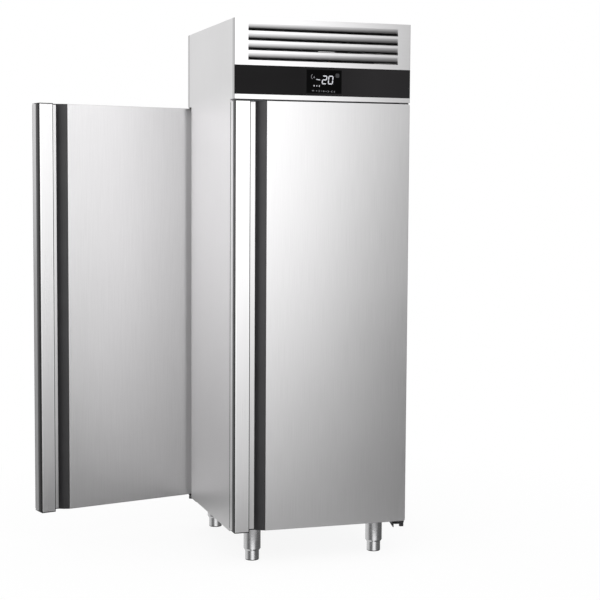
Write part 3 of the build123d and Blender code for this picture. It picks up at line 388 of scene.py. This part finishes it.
# %% Black panel
def glossy_plastic(name, colour, roughness, level, fade=None):
    """Glossy plastic whose polish varies a little; a fade paints a reflection that makes it paler
    towards one side.
    """
    finish = blank_finish(name, colour, roughness)
    tree = finish.node_tree
    flow = stretched_noise(tree, (4, 4, 22), detail=2.0)
    light = tuple(c * 1.25 for c in colour)
    shade(finish, "Base Color", tint(tree, spread(tree, flow, 0, 1), colour, light))
    # Painted reflection: the fade makes the panel paler towards its right.
    if fade:
        across = own_axes(tree)[0]
        blend_in(finish, "Base Color", spread(tree, across, 0, 1, start=-0.1, end=0.2), fade)
    shade(finish, "Roughness", spread(tree, flow, roughness * 0.8, roughness * 1.3))
    bump = wire(tree, "ShaderNodeBump", {"Height": flow, "Strength": 0.05, "Distance": 0.001})
    shade(finish, "Normal", bump.outputs["Normal"])
    tree.nodes["Principled BSDF"].inputs["Specular IOR Level"].default_value = level
    return finish


panel_colour, panel_painted_reflection = (0.006, 0.0057, 0.006), (0.021, 0.02, 0.021)
dress(glossy_plastic("panel_black", panel_colour, 0.2, 0.06, panel_painted_reflection), "control_panel")
dress(glossy_plastic("lens_black", (0.0015, 0.0015, 0.0016), 0.1, 0.02), "display_lens")

# %% [markdown]
# ## Legs, hinges and shelves
# Legs and feet are turned and polished, so their fine marks run round them, and the
# reflections in them are sharp. Each foot is dark along its lowest few millimetres. The
# shelf wire is chromed. The hinges are plated dark.

# %% Polished and plated metal
def polished_metal(name, colour, roughness, stretch=(60, 60, 900)):
    """Polished metal with faint marks from turning or drawing."""
    finish = blank_finish(name, colour, roughness, metallic=1.0)
    tree = finish.node_tree
    marks = stretched_noise(tree, stretch, detail=2.0)
    dark = tuple(c * 0.94 for c in colour)
    shade(finish, "Base Color", tint(tree, spread(tree, marks, 0, 1), dark, colour))
    shade(finish, "Roughness", spread(tree, marks, roughness * 0.75, roughness * 1.3))
    bump = wire(tree, "ShaderNodeBump", {"Height": marks, "Strength": 0.04, "Distance": 0.0003})
    shade(finish, "Normal", bump.outputs["Normal"])
    return finish


feet = ["foot_front_left", "foot_front_right", "foot_rear_left", "foot_rear_right"]
hinges = ["front_top_hinge", "front_bottom_hinge", "rear_top_hinge", "rear_bottom_hinge"]
shelves = ["lower_shelf", "middle_shelf", "upper_shelf"]
dress(polished_metal("leg_steel", (0.8, 0.8, 0.81), 0.2), "leg_sleeves")
foot_steel = polished_metal("foot_steel", (0.82, 0.82, 0.83), 0.2)
# The lowest 3.5 mm of each foot is made near black.
dark_foot_bottom = maths(foot_steel.node_tree, "LESS_THAN", own_axes(foot_steel.node_tree)[2], 0.0035)
blend_in(foot_steel, "Base Color", dark_foot_bottom, (0.02, 0.02, 0.02))
dress(foot_steel, *feet)
dress(polished_metal("shelf_chrome", (0.86, 0.86, 0.87), 0.12, (300, 300, 300)), *shelves)
dress(polished_metal("hinge_steel", (0.11, 0.11, 0.115), 0.32, (200, 200, 200)), *hinges)

# %% [markdown]
# ## Rubber seals
# The door seals and the mountings are dark rubber, dull and slightly mottled.

# %% Rubber
seals = ["front_door_gasket", "rear_door_gasket"]
dress(moulded_plastic("seal_rubber", (0.018, 0.018, 0.019), 0.62, texture=260), *seals)
grommet_rubber = moulded_plastic("grommet_rubber", (0.02, 0.02, 0.02), 0.7, texture=200)
dress(grommet_rubber, "compressor_grommets")
dress(moulded_plastic("drain_rubber", (0.42, 0.42, 0.42), 0.6, texture=200), "drain_tube")

# %% [markdown]
# ## Inside the cabin
# The liners are steel sheets too, brushed finer than outside and a little duller. The
# frame round each opening is pale plastic, and the lamp has a frosted cover.

# %% Cabin finishes
liner_steel = brushed_steel("liner_steel", (0.66, 0.66, 0.67), 0.3, (800, 7, 800))
liners = ["left_liner", "right_liner", "floor_liner", "ceiling_liner", "duct_panel"]
dress(liner_steel, *liners)
door_liner_steel = brushed_steel("door_liner_steel", (0.8, 0.8, 0.81), 0.3, (800, 800, 7))
dress(door_liner_steel, "front_door_liner", "rear_door_liner")
dress(moulded_plastic("frame_plastic", (0.55, 0.55, 0.56), 0.45, texture=300), "breaker_frames")
dress(moulded_plastic("lamp_cover", (0.85, 0.86, 0.86), 0.35, texture=500), "interior_lamp")

# %% [markdown]
# ## The machine compartment
# Behind the louvres stand the parts that make the cold. Nobody sees much of them, but the
# light that falls through the louvres does, so each has its own finish: galvanised deck,
# aluminium fins, copper pipes, black compressor, painted motors.

# %% Galvanised sheet
def galvanised_sheet(name):
    """Zinc-coated steel with its pattern of crystals."""
    finish = blank_finish(name, (0.5, 0.52, 0.53), 0.5, metallic=1.0)
    tree = finish.node_tree
    place = wire(tree, "ShaderNodeTexCoord").outputs["Object"]
    crystals = wire(tree, "ShaderNodeTexVoronoi", {"Vector": place, "Scale": 90.0})
    grey = wire(tree, "ShaderNodeRGBToBW", {"Color": crystals.outputs["Color"]}).outputs["Val"]
    shade(finish, "Base Color", tint(tree, grey, (0.4, 0.42, 0.43), (0.6, 0.62, 0.64)))
    shade(finish, "Roughness", spread(tree, grey, 0.38, 0.6, start=0, end=1))
    return finish


dress(galvanised_sheet("galvanised_sheet"), "base_panel", "machine_deck", "condenser_fan_shroud")

# %% Machine finishes
fin_aluminium = polished_metal("fin_aluminium", (0.75, 0.76, 0.77), 0.35, (40, 40, 500))
dress(fin_aluminium, "condenser_coil", "evaporator_coil")
dress(polished_metal("heater_steel", (0.42, 0.4, 0.38), 0.35), "defrost_heater")
copper_pipe = polished_metal("copper_pipe", (0.72, 0.42, 0.27), 0.25, (150, 150, 150))
dress(copper_pipe, "refrigerant_pipes", "filter_drier")
gloss_paint = moulded_plastic("compressor_paint", (0.02, 0.02, 0.022), 0.3, 120, 0.1)
dress(gloss_paint, "compressor")
motors = ["evaporator_fan_motor", "condenser_fan_motor"]
dress(moulded_plastic("motor_paint", (0.2, 0.21, 0.22), 0.4, texture=150), *motors)
housing_plastic = moulded_plastic("housing_plastic", (0.8, 0.81, 0.82), 0.55, texture=180)
dress(housing_plastic, "evaporator_housing")
blades = ["evaporator_fan_blades", "condenser_fan_blades"]
bushes = ["front_door_bushes", "rear_door_bushes"]
black_plastic = moulded_plastic("black_plastic", (0.025, 0.025, 0.027), 0.45)
dress(black_plastic, "cable_gland", "controller_box", "evaporation_tray", *blades, *bushes)

# %% [markdown]
# ## Foam in the walls
# The walls and doors are filled with foam that cures between the sheets. It is hidden
# in use, but cut open it is cream-coloured and full of tiny cells.

# %% Wall foam
def cellular_foam(name):
    """Cream foam with small cells."""
    finish = blank_finish(name, (0.83, 0.76, 0.54), 0.9)
    tree = finish.node_tree
    place = wire(tree, "ShaderNodeTexCoord").outputs["Object"]
    foam = wire(tree, "ShaderNodeTexVoronoi", {"Vector": place, "Scale": 700.0})
    cells = foam.outputs["Distance"]
    shade(finish, "Base Color", tint(tree, cells, (0.72, 0.64, 0.42), (0.86, 0.8, 0.6)))
    pits = wire(tree, "ShaderNodeBump", {"Height": cells, "Strength": 0.4, "Distance": 0.0005})
    shade(finish, "Normal", pits.outputs["Normal"])
    return finish


dress(cellular_foam("wall_foam"), "cabinet_insulation", "front_door_foam", "rear_door_foam")

# %% [markdown]
# ## The lit display
# The temperature shows in seven-bar digits behind the lens, with a few small lamps and a
# row of touch marks. Each bar is a thin plate with pointed ends. The digits lean a little
# to the right, so each bar is sheared after it is placed.

# %% A glowing finish
def lit_finish(name, colour, glow):
    """A finish that gives off light, with a faint grain in it."""
    finish = blank_finish(name, tuple(c * 0.01 for c in colour), 0.5)
    tree = finish.node_tree
    grain = stretched_noise(tree, (300, 300, 300), detail=1.0)
    shade(finish, "Emission Color", tint(tree, grain, tuple(c * 0.85 for c in colour), colour))
    tree.nodes["Principled BSDF"].inputs["Emission Strength"].default_value = glow
    tree.nodes["Principled BSDF"].inputs["Specular IOR Level"].default_value = 0.02
    return finish


# %% Plates on the lens
lens_low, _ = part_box("display_lens")
lens_face = lens_low.y
mark_depth = 0.00015


def plate_outline(shape, corners):
    """A thin plate on the lens from corners given in metres across and up."""
    rim = [shape.verts.new((x, lens_face - mark_depth, z)) for x, z in corners]
    plate = shape.faces.new(rim)
    grown = bmesh.ops.extrude_face_region(shape, geom=[plate])
    back = [v for v in grown["geom"] if isinstance(v, bmesh.types.BMVert)]
    bmesh.ops.translate(shape, verts=back, vec=(0, mark_depth, 0))


def finished_piece(name, shape, finish, body):
    """Turn a shape into a piece that wears a finish and rides on a body."""
    bmesh.ops.recalc_face_normals(shape, faces=shape.faces[:])
    mesh = bpy.data.meshes.new(name)
    shape.to_mesh(mesh)
    shape.free()
    mesh.materials.append(finish)
    piece = bpy.data.objects.new(name, mesh)
    bpy.context.scene.collection.objects.link(piece)
    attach(piece, body)
    print(name, "faces:", len(mesh.polygons))
    return piece


# %% Digits
digit_height = 0.0320
digit_width = 0.0195
bar = 0.0036
digit_foot = 1.7802
bars_lit = {"2": "abged", "0": "abcdef"}


def bar_corners(letter, left, foot):
    """The pointed outline of one bar of a seven-bar digit."""
    right, top, middle = left + digit_width, foot + digit_height, foot + digit_height / 2
    half, gap = bar / 2, bar * 0.12
    levels = {"a": top - half, "g": middle, "d": foot + half}
    if letter in levels:
        z, x0, x1 = levels[letter], left + half + gap, right - half - gap
        return [
            (x0, z), (x0 + half, z + half), (x1 - half, z + half),
            (x1, z), (x1 - half, z - half), (x0 + half, z - half),
        ]
    x = left + half if letter in "fe" else right - half
    upper, lower = (middle + gap, top - half - gap), (foot + half + gap, middle - gap)
    z0, z1 = upper if letter in "fb" else lower
    return [
        (x, z0), (x + half, z0 + half), (x + half, z1 - half),
        (x, z1), (x - half, z1 - half), (x - half, z0 + half),
    ]


def lit_piece(name, shape, light, colour, glow):
    """Finish a group of marks that glow on the panel."""
    finished_piece(name, shape, lit_finish(light, colour, glow), "cabinet")


digits = bmesh.new()
lean = 0.1
for digit, left in (("2", -0.0098), ("0", 0.0140)):
    for letter in bars_lit[digit]:
        upright = bar_corners(letter, left, digit_foot)
        plate_outline(digits, [(x + lean * (z - digit_foot), z) for x, z in upright])
minus_z = digit_foot + digit_height / 2
minus_sign = [
    (-0.0315, minus_z + 0.0022), (-0.0175, minus_z + 0.0012), (-0.0140, minus_z - 0.0010),
    (-0.0180, minus_z - 0.0018), (-0.0295, minus_z),
]
plate_outline(digits, minus_sign)
lit_piece("temperature_digits", digits, "digit_light", (0.93, 0.94, 1.0), 0.86)

# %% [markdown]
# ## Lamps and touch marks
# Under the minus sign are three small status lamps. Above them a small mark shows what the
# machine is doing, and along the foot of the lens runs a row of faint touch marks. They are
# only shapes: dots, bars and arrowheads.

# %% Small shapes on the lens
def round_mark(shape, x, z, width, height, sides=10):
    """A small oval."""
    turns = [2 * math.pi * n / sides for n in range(sides)]
    spots = [(x + width / 2 * math.cos(a), z + height / 2 * math.sin(a)) for a in turns]
    plate_outline(shape, spots)


def bar_mark(shape, x, z, width, height):
    """A small upright bar with cut corners."""
    w, h, cut = width / 2, height / 2, min(width, height) * 0.22
    rim = [
        (w - cut, h), (w, h - cut), (w, cut - h), (w - cut, -h),
        (cut - w, -h), (-w, cut - h), (-w, h - cut), (cut - w, h),
    ]
    plate_outline(shape, [(x + dx, z + dz) for dx, dz in rim])


def arrow_mark(shape, x, z, width, height, way):
    """An arrowhead that points right or left."""
    w, h = width / 2 * way, height / 2
    plate_outline(shape, [(x - w, z + h), (x + w, z), (x - w, z - h), (x - w * 0.4, z)])


lamps = bmesh.new()
round_mark(lamps, -0.0385, 1.7738, 0.0048, 0.0062)
round_mark(lamps, -0.0282, 1.7738, 0.0036, 0.0056)
bar_mark(lamps, -0.0183, 1.7735, 0.0032, 0.0064)
lit_piece("status_lamps", lamps, "lamp_light", (0.95, 0.95, 1.0), 0.62)

mode_mark = bmesh.new()
arc = [math.radians(d) for d in (115, 137, 159, 181, 203, 225, 247)]
for one, other in zip(arc, arc[1:]):
    rim = [(0.0093, one), (0.0093, other), (0.0072, other), (0.0072, one)]
    spots = [(-0.0415 + r * math.cos(a), 1.8068 + 1.05 * r * math.sin(a)) for r, a in rim]
    plate_outline(mode_mark, spots)
plate_outline(mode_mark, [(-0.0420, 1.8020), (-0.0352, 1.8020), (-0.0386, 1.8098)])
lit_piece("mode_mark", mode_mark, "mode_light", (0.9, 0.9, 0.95), 0.24)

touch_marks = bmesh.new()
bar_mark(touch_marks, -0.0425, 1.7558, 0.0085, 0.0040)
bar_mark(touch_marks, -0.0290, 1.7553, 0.0040, 0.0040)
bar_mark(touch_marks, -0.0190, 1.7551, 0.0028, 0.0078)
bar_mark(touch_marks, -0.0106, 1.7549, 0.0014, 0.0060)
round_mark(touch_marks, -0.0015, 1.7547, 0.0068, 0.0060)
round_mark(touch_marks, 0.0078, 1.7545, 0.0040, 0.0042)
arrow_mark(touch_marks, 0.0172, 1.7543, 0.0078, 0.0088, 1)
arrow_mark(touch_marks, 0.0290, 1.7541, 0.0078, 0.0088, -1)
round_mark(touch_marks, 0.0402, 1.7539, 0.0046, 0.0062)
lit_piece("touch_marks", touch_marks, "touch_light", (0.9, 0.9, 0.95), 0.17)

signal_patch = bmesh.new()
bar_mark(signal_patch, 0.0515, 1.8130, 0.0150, 0.0155)
lit_piece("signal_patch", signal_patch, "signal_light", (0.9, 0.9, 0.95), 0.055)

# %% [markdown]
# ## Door seals
# A magnetic seal isn't a plain strip. Its foot is clipped into the door, a hollow bellows
# follows, and the magnet sits in a flat pocket at the front. Seen at the edge of a shut
# door, the foot and the pocket are two dark lines with a thin valley between. The ring of
# this section replaces the plain ring of the solids. It is flush with the door on three
# sides, and drawn in at the hinges, where the door turns close to the cabinet.

# %% Bellows seals
seal_turn = 0.008
seal_section = [
    (0.0, 0.0), (0.0, 0.0026), (0.0022, 0.0034), (0.0022, 0.0042), (0.0, 0.005), (0.0, 0.0070),
    (0.0010, 0.0077), (0.0165, 0.0077), (0.0178, 0.0068), (0.0150, 0.0052), (0.0150, 0.0036),
    (0.0178, 0.0022), (0.0178, 0.0),
]
seal_inset, seal_top, seal_foot = 0.014, 1.7148, 0.1272
seal_reach = {"front": 0.6798, "rear": 0.678}


def seal_ring(which):
    """A closed ring with the bellows section, laid on the inner face of a door."""
    corner, along, out = (Vector(v) for v in door_places[which])
    far = seal_reach[which]
    shape = bmesh.new()
    rings = []
    bends = [
        (far, seal_top, 1, 1), (seal_inset, seal_top, -1, 1),
        (seal_inset, seal_foot, -1, -1), (far, seal_foot, 1, -1),
    ]
    for n, (reach, up, side, rise) in enumerate(bends):
        middle = (reach - side * seal_turn, up - rise * seal_turn)
        for step in range(5):
            turn = math.radians(90 * n + 22.5 * step)
            ring = []
            for inwards, deep in seal_section:
                left = seal_turn - inwards
                dx, dz = (math.cos(turn), math.sin(turn)) if left > 0 else (side, rise)
                spot = corner + along * (middle[0] + left * dx) - out * deep
                ring.append(shape.verts.new(spot + Vector((0, 0, middle[1] + left * dz))))
            rings.append(ring)
    for one, other in zip(rings, rings[1:] + rings[:1]):
        for k in range(len(seal_section)):
            j = (k + 1) % len(seal_section)
            shape.faces.new((one[k], one[j], other[j], other[k]))
    bmesh.ops.remove_doubles(shape, verts=shape.verts, dist=1e-6)
    bmesh.ops.dissolve_degenerate(shape, edges=shape.edges, dist=1e-6)
    return shape


seal_rubber = bpy.data.materials["seal_rubber"]
for which in ("front", "rear"):
    ring = seal_ring(which)
    seal = finished_piece(which + "_door_seal", ring, seal_rubber, which + "_door")
    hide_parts(which + "_door_gasket")

# %% [markdown]
# ## Studio
# The set is a floor, a room and one soft card. In the picture the floor and the room are
# simply white, but steel shows what stands round it, so what the steel sees is shaded apart
# from what the camera sees. The curves and numbers below were set over many renders, to
# bring the steel's tones near the photograph's.

# %% Helpers for the set
def stage_sheet(name, half_width, half_depth):
    """A flat sheet for the set, and the empty node tree of its finish."""
    shape = bmesh.new()
    bmesh.ops.create_grid(shape, x_segments=1, y_segments=1, size=1)
    bmesh.ops.scale(shape, verts=shape.verts, vec=(half_width, half_depth, 1))
    mesh = bpy.data.meshes.new(name)
    shape.to_mesh(mesh)
    shape.free()
    finish = bpy.data.materials.new(name)
    finish.use_nodes = True
    finish.node_tree.nodes.clear()
    mesh.materials.append(finish)
    sheet = bpy.data.objects.new(name, mesh)
    bpy.context.scene.collection.objects.link(sheet)
    return sheet, finish.node_tree


def either(tree, factor, first, second):
    """One shader where the factor is 0, and another where it is 1."""
    return wire(tree, "ShaderNodeMixShader", {0: factor, 1: first, 2: second}).outputs[0]


def white_light(tree, kind, strength):
    """White light of a strength, from a surface or from the room."""
    return wire(tree, kind, {"Color": (1, 1, 1, 1), "Strength": strength}).outputs[0]


def curved(tree, value, points):
    """Send a value from 0 to 1 through a curve with the given points."""
    node = wire(tree, "ShaderNodeFloatCurve", {"Value": value})
    line = node.mapping.curves[0]
    line.points[0].location, line.points[1].location = points[0], points[-1]
    for point in points[1:-1]:
        line.points.new(*point)
    node.mapping.update()
    return node.outputs[0]


# %% [markdown]
# ## Floor
# The camera sees a white floor that takes a faint shadow near the feet. Every other ray sees
# it dull grey, darker to the right. Round the legs those rays pass through a window in it,
# so the polished legs reflect what the room has below.

# %% Floor
window_half_width, window_half_depth = 0.74, 0.62

floor, tree = stage_sheet("studio_floor", 40, 40)
place = wire(tree, "ShaderNodeTexCoord").outputs["Object"]
floor_x, floor_y, _ = wire(tree, "ShaderNodeSeparateXYZ", {0: place}).outputs
away = wire(tree, "ShaderNodeVectorMath", {0: place}, operation="LENGTH").outputs["Value"]
pale = wire(tree, "ShaderNodeBsdfDiffuse", {"Color": (0.9, 0.9, 0.9, 1)}).outputs[0]
white = white_light(tree, "ShaderNodeEmission", 1.0)
shown = either(tree, spread(tree, away, 0.1, 0.0, start=0.5, end=2.0), white, pale)
grey = spread(tree, floor_x, 0.34, 0.18, start=0.15, end=0.7)
dull = wire(tree, "ShaderNodeBsdfDiffuse", {"Color": grey}).outputs[0]
clear = wire(tree, "ShaderNodeBsdfTransparent").outputs[0]
past_side = maths(tree, "SUBTRACT", maths(tree, "ABSOLUTE", floor_x), window_half_width)
past_front = maths(tree, "SUBTRACT", maths(tree, "ABSOLUTE", floor_y), window_half_depth)
past_window = maths(tree, "MAXIMUM", past_side, past_front)
others = either(tree, spread(tree, past_window, 0.0, 1.0, start=-0.1, end=0.08), clear, dull)
seen = wire(tree, "ShaderNodeLightPath").outputs["Is Camera Ray"]
wire(tree, "ShaderNodeOutputMaterial", {"Surface": either(tree, seen, others, shown)})
print("floor nodes:", len(tree.nodes))

# %% [markdown]
# ## Room light
# The camera sees a white room. For other rays it is brighter above than below, and brighter
# behind the freezer. Below the horizon it has light and dark bands, which only rays through
# the window in the floor reach. The stripes on the legs are their reflections.

# %% Room light
band_points = [
    (0.0, 0.42), (0.1, 0.5), (0.2, 0.46), (0.25, 0.3), (0.29, 0.12), (0.35, 0.09),
    (0.385, 0.22), (0.43, 0.72), (0.475, 0.92), (0.52, 0.78), (0.57, 0.28), (0.61, 0.1),
    (0.7, 0.07), (0.84, 0.1), (0.93, 0.2), (1.0, 0.42),
]
brightest_above = 0.98
band_strength = 1.3

room = bpy.data.worlds.new("studio_room")
room.use_nodes = True
bpy.context.scene.world = room
tree = room.node_tree
tree.nodes.clear()
direction = wire(tree, "ShaderNodeTexCoord").outputs["Generated"]
axes = wire(tree, "ShaderNodeSeparateXYZ", {0: direction}).outputs
height = spread(tree, axes["Z"], 0.34, 1.1, start=-0.05, end=0.7)
behind = spread(tree, axes["Y"], 0.0, 0.65, start=0.2, end=0.8)
above = maths(tree, "MINIMUM", maths(tree, "ADD", height, behind), brightest_above)
round_about = maths(tree, "ARCTAN2", axes["X"], maths(tree, "MULTIPLY", axes["Y"], -1.0))
turned = spread(tree, round_about, 0, 1, start=-math.pi, end=math.pi)
below = maths(tree, "MULTIPLY", curved(tree, turned, band_points), band_strength)
down = spread(tree, axes["Z"], 1.0, 0.0, start=-0.2, end=-0.14)
bright = wire(tree, "ShaderNodeMix", {"Factor": down, 2: above, 3: below}).outputs[0]
glow = white_light(tree, "ShaderNodeBackground", bright)
plain = white_light(tree, "ShaderNodeBackground", 1.0)
seen = wire(tree, "ShaderNodeLightPath").outputs["Is Camera Ray"]
wire(tree, "ShaderNodeOutputWorld", {"Surface": either(tree, seen, glow, plain)})
print("room nodes:", len(tree.nodes))

# %% [markdown]
# ## Soft card
# The steel's own light comes from a soft card close in front on the left. The camera doesn't
# see it and it casts no shadow. It fades to the right and towards the floor, and its lower
# fade rises and falls across it. No real lamp does one thing that it does: its left part is
# about half as bright in a first reflection as in later ones, which keeps the cabinet's side
# from burning out when it is seen from behind.

# %% Soft card
card_half_width, card_half_height = 1.7, 1.35
slope_points = [
    (0.0, 0.9), (0.2, 0.85), (0.29, 0.6), (0.374, 0.0), (0.43, 0.4), (0.476, 0.75),
    (0.53, 0.75), (0.6, 0.56), (0.66, 0.51), (0.7235, 0.53), (0.9, 0.83), (1.0, 0.9),
]
right_points = [
    (0.0, 0.0), (0.15, 0.36), (0.235, 0.56), (0.3, 0.74), (0.374, 0.92), (0.43, 1.0),
    (0.476, 1.0), (0.535, 0.93), (0.62, 0.72), (0.72, 0.525), (0.77, 0.47), (0.8, 0.39),
    (0.85, 0.23), (0.9, 0.11), (0.95, 0.04), (1.0, 0.0),
]
up_points = [
    (0.0, 0.0), (0.19, 0.18), (0.25, 0.34), (0.32, 0.49), (0.39, 0.65), (0.45, 0.77),
    (0.53, 0.91), (0.6, 0.99), (0.7, 1.0), (1.0, 1.0),
]
later_strength, first_strength = 2.02, 1.05

card, tree = stage_sheet("soft_card", card_half_width, card_half_height)
card_turn = Matrix.Rotation(math.radians(90), 4, "X")
card.matrix_world = Matrix.Translation((-0.7, -1.2, 1.35)) @ card_turn
card.visible_camera = False
card.visible_shadow = False
place = wire(tree, "ShaderNodeTexCoord").outputs["Object"]
across, up, _ = wire(tree, "ShaderNodeSeparateXYZ", {0: place}).outputs
share = spread(tree, across, 0, 1, start=-card_half_width, end=card_half_width)
raised = maths(tree, "ADD", up, 0.18)
tilted = maths(tree, "MULTIPLY_ADD", curved(tree, share, slope_points), -1.2, raised)
upwards = curved(tree, spread(tree, tilted, 0, 1, start=-2.41, end=0.9), up_points)
faded = maths(tree, "MULTIPLY", curved(tree, share, right_points), upwards)
bounces = wire(tree, "ShaderNodeLightPath").outputs["Glossy Depth"]
left_part = spread(tree, across, 1.0, 0.0, start=0.1, end=0.4)
straight = maths(tree, "MULTIPLY", maths(tree, "LESS_THAN", bounces, 1.5), left_part)
softened = spread(tree, straight, later_strength, first_strength, start=0.0, end=1.0)
light = white_light(tree, "ShaderNodeEmission", maths(tree, "MULTIPLY", faded, softened))
clear = wire(tree, "ShaderNodeBsdfTransparent").outputs[0]
both = wire(tree, "ShaderNodeAddShader", {0: light, 1: clear}).outputs[0]
wire(tree, "ShaderNodeOutputMaterial", {"Surface": both})
print("card nodes:", len(tree.nodes))
